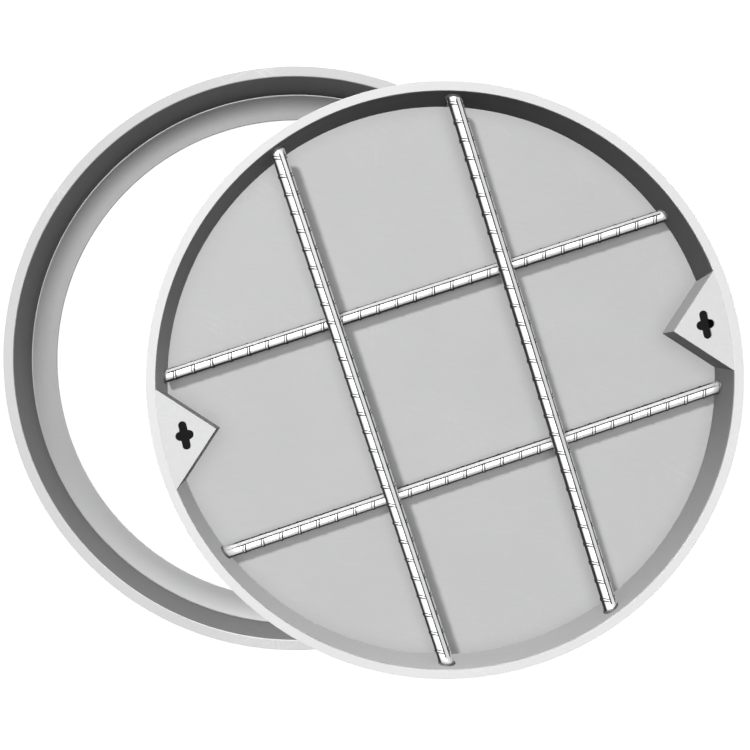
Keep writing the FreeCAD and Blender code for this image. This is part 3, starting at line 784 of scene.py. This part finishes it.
def addSun(name):
    look = room[name]
    across, up, elevation = look["from"]
    flat = Vector((across, up, 0)).normalized() * math.cos(math.radians(elevation))
    toward = Matrix.Rotation(view["roll"], 3, "Z") @ Vector((flat.x, flat.y, math.sin(math.radians(elevation))))
    sun = bpy.data.lights.new(name, "SUN")
    sun.energy = look["strength"]
    sun.angle = math.radians(look["angle"])
    lamp = bpy.data.objects.new(name, sun)
    lamp.rotation_mode = "QUATERNION"
    lamp.rotation_quaternion = toward.to_track_quat("Z", "Y")
    bpy.context.scene.collection.objects.link(lamp)
    return lamp


def buildRoom():
    mesh = makeMesh("floor", [(-room["reach"], -room["reach"], 0), (room["reach"], -room["reach"], 0),
                              (room["reach"], room["reach"], 0), (-room["reach"], room["reach"], 0)], [(0, 1, 2, 3)])
    floor = bpy.data.objects.new("floor", mesh)
    floor.location.z = -0.2 * mm
    bpy.context.scene.collection.objects.link(floor)
    material = bpy.data.materials.new("paleFloor")
    material.use_nodes = True
    shader = material.node_tree.nodes["Principled BSDF"]
    shader.inputs["Base Color"].default_value = (*room["floorColour"], 1)
    shader.inputs["Roughness"].default_value = 0.8
    shader.inputs["Emission Color"].default_value = (1, 1, 1, 1)
    shader.inputs["Emission Strength"].default_value = room["floorGlow"]
    mesh.materials.append(material)

    # a soft bright ceiling over a darker horizon
    world = bpy.data.worlds.new("studio")
    world.use_nodes = True
    tree = world.node_tree
    place = addNode(tree, "ShaderNodeTexCoord")
    parts = addNode(tree, "ShaderNodeSeparateXYZ", {}, {"Vector": place.outputs["Generated"]})
    cap = addNode(tree, "ShaderNodeMapRange",
                  {"interpolation_type": "SMOOTHSTEP", "From Min": room["capStart"], "From Max": room["capFull"],
                   "To Min": room["horizon"], "To Max": room["zenith"]}, {"Value": parts.outputs["Z"]})
    back = tree.nodes["Background"]
    back.inputs["Color"].default_value = (0.98, 0.99, 1.0, 1)
    # the eye sees an even pale backdrop; everything else sees the ceiling
    seen = addNode(tree, "ShaderNodeLightPath").outputs["Is Camera Ray"]
    shown = addNode(tree, "ShaderNodeMapRange", {"To Max": room["backdrop"]}, {"Value": seen, "To Min": cap.outputs[0]})
    tree.links.new(shown.outputs[0], back.inputs["Strength"])
    bpy.context.scene.world = world

    # the walls and the frame have their own softer lights, and only the bars throw a shadow
    shown = [o for o in bpy.data.objects if o.type == "MESH" and not o.hide_render and o != floor]
    barPieces = [o for o in shown if o.name.endswith("_rolled")]
    framePieces = [o for o in shown if o.name.startswith("frame") and "wall" not in o.name]
    wallPieces = [o for o in shown if o.name in ("frame_wall_turned", "cover_wall_turned")]
    key = addSun("key")
    key.light_linking.blocker_collection = linkedSet("keyShadows", barPieces)
    key.light_linking.receiver_collection = linkedSet("keyLit", [o for o in shown if o not in wallPieces + framePieces])
    levelPieces = [o for o in shown if o not in wallPieces and o.name != "frame_ledge_pressed"]
    for name, lit in (("wallKey", wallPieces), ("frameKey", framePieces), ("overhead", levelPieces),
                      ("rightFill", wallPieces), ("leftFill", wallPieces), ("barFill", barPieces),
                      ("stripFill", barPieces)):
        lamp = addSun(name)
        lamp.data.use_shadow = False
        lamp.light_linking.receiver_collection = linkedSet(name + "Lit", lit)


def buildCamera():
    data = bpy.data.cameras.new("camera")
    data.lens = view["lens"]
    data.sensor_width = 36
    data.shift_x, data.shift_y = view["shift"]
    camera = bpy.data.objects.new("camera", data)
    camera.location = (*view["axis"], cadHigh.z + view["height"])
    camera.rotation_euler = (0, 0, view["roll"])
    bpy.context.scene.collection.objects.link(camera)
    bpy.context.scene.camera = camera


buildRoom()
buildCamera()
bpy.context.scene.view_settings.view_transform = "Standard"
bpy.context.scene.cycles.diffuse_bounces = 0
print("room and camera ready")
